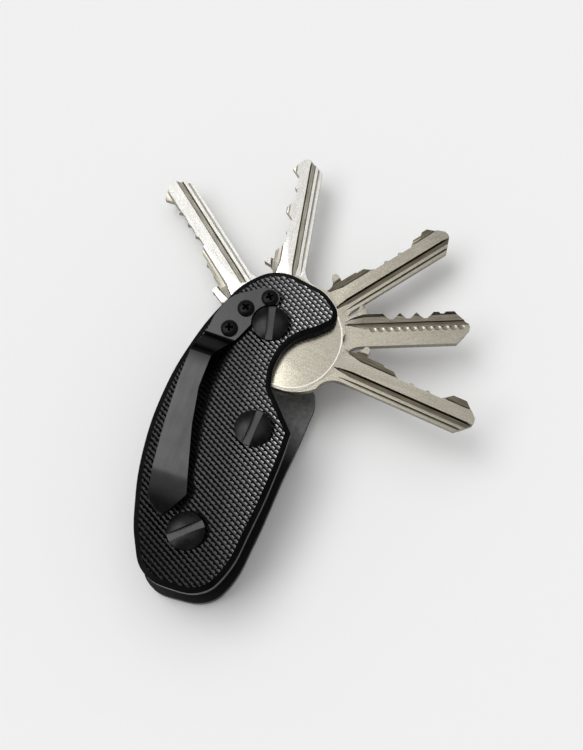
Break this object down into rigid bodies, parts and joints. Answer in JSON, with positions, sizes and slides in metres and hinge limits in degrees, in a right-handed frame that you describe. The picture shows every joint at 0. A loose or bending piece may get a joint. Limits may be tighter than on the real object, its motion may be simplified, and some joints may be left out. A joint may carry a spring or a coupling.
{
  "type": "key organizer",
  "caption": "Knife-handle key organizer: two black plates on three posts hold a fan of cut keys that fold between them, with a thumb notch and a pocket clip.",
  "frame": {"origin": "on the key pivot's axis, in the plane of the rear heads' flat faces, which the organizer lies on", "axes": "+Z along the posts from the rear plate to the front plate with the clip; +Y from the lower post to the key pivot; +X towards the thumb notch"},
  "size_m": [0.0921, 0.1146, 0.0239],
  "materials": {
    "front_plate": "black anodised, fine diamond texture outside",
    "rear_plate": "matte black anodised",
    "clip": "satin black spring steel",
    "black_screw": "black oxide steel",
    "spacer": "turned steel",
    "key": "nickel silver, milled",
    "washer": "plain"
  },
  "bodies": {
    "handle": {"front_plate": "front_plate", "rear_plate": "rear_plate", "pocket_clip": "clip", "clip_screw_1": "black_screw", "clip_screw_2": "black_screw", "clip_screw_3": "black_screw", "pivot_screw": "black_screw", "pivot_barrel": "black_screw", "middle_screw": "black_screw", "middle_barrel": "black_screw", "middle_sleeve": "spacer", "lower_screw": "black_screw", "lower_barrel": "black_screw", "lower_spacer_1": "spacer", "lower_spacer_2": "spacer", "lower_spacer_3": "spacer", "lower_spacer_4": "spacer", "key_washer_1": "washer", "key_washer_2": "washer", "key_washer_3": "washer", "key_washer_4": "washer", "key_washer_5": "washer", "key_washer_6": "washer"},
    "key_1_body": {"key_1": "key"},
    "key_2_body": {"key_2": "key"},
    "key_3_body": {"key_3": "key"},
    "key_4_body": {"key_4": "key"},
    "key_5_body": {"key_5": "key"}
  },
  "joints": [
    {"name": "key_1_swing", "type": "hinge", "parent": "handle", "child": "key_1_body", "pos_m": [0, 0, 0.00565], "axis": [0, 0, 1], "range_deg": [-197, 117]},
    {"name": "key_2_swing", "type": "hinge", "parent": "handle", "child": "key_2_body", "pos_m": [0, 0, 0.00805], "axis": [0, 0, 1], "range_deg": [-157.1, 156.9]},
    {"name": "key_3_swing", "type": "hinge", "parent": "handle", "child": "key_3_body", "pos_m": [0, 0, 0.01045], "axis": [0, 0, 1], "range_deg": [-109.3, 204.7]},
    {"name": "key_4_swing", "type": "hinge", "parent": "handle", "child": "key_4_body", "pos_m": [0, 0, 0.01285], "axis": [0, 0, 1], "range_deg": [-78, 236]},
    {"name": "key_5_swing", "type": "hinge", "parent": "handle", "child": "key_5_body", "pos_m": [0, 0, 0.01525], "axis": [0, 0, 1], "range_deg": [-50.8, 263.2]}
  ]
}
